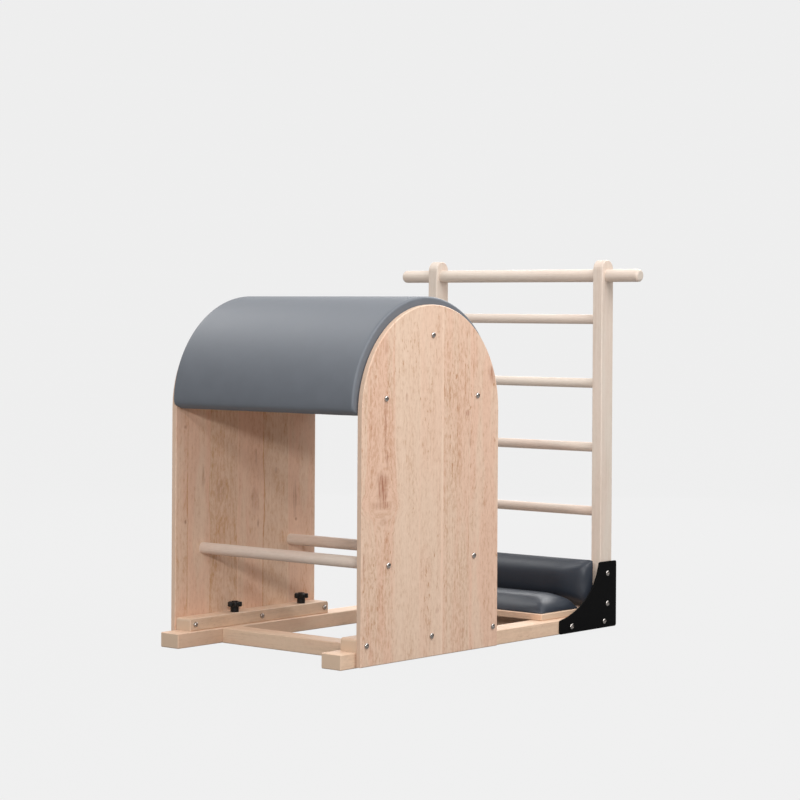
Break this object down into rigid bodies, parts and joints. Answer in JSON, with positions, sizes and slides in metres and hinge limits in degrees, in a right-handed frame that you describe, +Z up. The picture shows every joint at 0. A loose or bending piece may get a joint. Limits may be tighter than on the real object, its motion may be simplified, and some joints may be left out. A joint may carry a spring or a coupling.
{
  "type": "pilates ladder barrel",
  "caption": "Padded half barrel between arched wooden side panels, sliding on a low timber base in front of a rung ladder with a padded foot seat.",
  "frame": {"origin": "on the floor, under the middle of the box round the whole apparatus with the barrel at its rest place", "axes": "+X across the barrel, +Y from the barrel to the ladder, +Z up"},
  "size_m": [0.948, 1.295, 1.144],
  "materials": {
    "oak": "satin",
    "beech": "satin",
    "maple": "satin",
    "plywood": "matte",
    "grey_vinyl": "satin",
    "black_steel": "satin",
    "bright_steel": "polished",
    "black_plastic": "matte"
  },
  "bodies": {
    "base_frame": {"base_rail_left": "beech", "base_rail_right": "beech", "front_cross_member": "beech", "rear_cross_member": "beech", "ladder_upright_left": "maple", "ladder_upright_right": "maple", "top_rail": "maple", "ladder_rung_1": "maple", "ladder_rung_2": "maple", "ladder_rung_3": "maple", "ladder_rung_4": "maple", "corner_plate_left": "black_steel", "corner_plate_right": "black_steel", "plate_bolt_1_left": "bright_steel", "plate_bolt_2_left": "bright_steel", "plate_bolt_3_left": "bright_steel", "plate_bolt_4_left": "bright_steel", "plate_bolt_1_right": "bright_steel", "plate_bolt_2_right": "bright_steel", "plate_bolt_3_right": "bright_steel", "plate_bolt_4_right": "bright_steel", "seat_board": "beech", "seat_pad": "grey_vinyl", "back_board": "beech", "back_pad": "grey_vinyl"},
    "barrel": {"side_panel_left": "oak", "side_panel_right": "oak", "slide_runner_left": "beech", "slide_runner_right": "beech", "clamp_bolt_front_left": "bright_steel", "clamp_bolt_front_right": "bright_steel", "clamp_bolt_rear_left": "bright_steel", "clamp_bolt_rear_right": "bright_steel", "front_stretcher": "maple", "rear_stretcher": "maple", "crown_batten": "beech", "front_batten": "beech", "rear_batten": "beech", "barrel_shell": "plywood", "barrel_pad": "grey_vinyl", "crown_batten_bolt_left": "bright_steel", "crown_batten_bolt_right": "bright_steel", "front_batten_bolt_left": "bright_steel", "front_batten_bolt_right": "bright_steel", "rear_batten_bolt_left": "bright_steel", "rear_batten_bolt_right": "bright_steel", "front_stretcher_bolt_left": "bright_steel", "front_stretcher_bolt_right": "bright_steel", "rear_stretcher_bolt_left": "bright_steel", "rear_stretcher_bolt_right": "bright_steel", "runner_front_bolt_left": "bright_steel", "runner_front_bolt_right": "bright_steel", "runner_middle_bolt_left": "bright_steel", "runner_middle_bolt_right": "bright_steel", "runner_rear_bolt_left": "bright_steel", "runner_rear_bolt_right": "bright_steel"},
    "knob_front_left": {"clamp_knob_front_left": "black_plastic"},
    "knob_front_right": {"clamp_knob_front_right": "black_plastic"},
    "knob_rear_left": {"clamp_knob_rear_left": "black_plastic"},
    "knob_rear_right": {"clamp_knob_rear_right": "black_plastic"}
  },
  "joints": [
    {"name": "barrel_slide", "type": "slide", "parent": "base_frame", "child": "barrel", "axis": [0, 1, 0], "range_m": [-0.06, 0.09]},
    {"name": "knob_turn_front_left", "type": "hinge", "parent": "barrel", "child": "knob_front_left", "pos_m": [-0.314, -0.3755, 0.095], "axis": [0, 0, 1], "range_deg": [0, 540]},
    {"name": "knob_turn_front_right", "type": "hinge", "parent": "barrel", "child": "knob_front_right", "pos_m": [0.314, -0.3755, 0.095], "axis": [0, 0, 1], "range_deg": [0, 540]},
    {"name": "knob_turn_rear_left", "type": "hinge", "parent": "barrel", "child": "knob_rear_left", "pos_m": [-0.314, -0.0825, 0.095], "axis": [0, 0, 1], "range_deg": [0, 540]},
    {"name": "knob_turn_rear_right", "type": "hinge", "parent": "barrel", "child": "knob_rear_right", "pos_m": [0.314, -0.0825, 0.095], "axis": [0, 0, 1], "range_deg": [0, 540]}
  ]
}
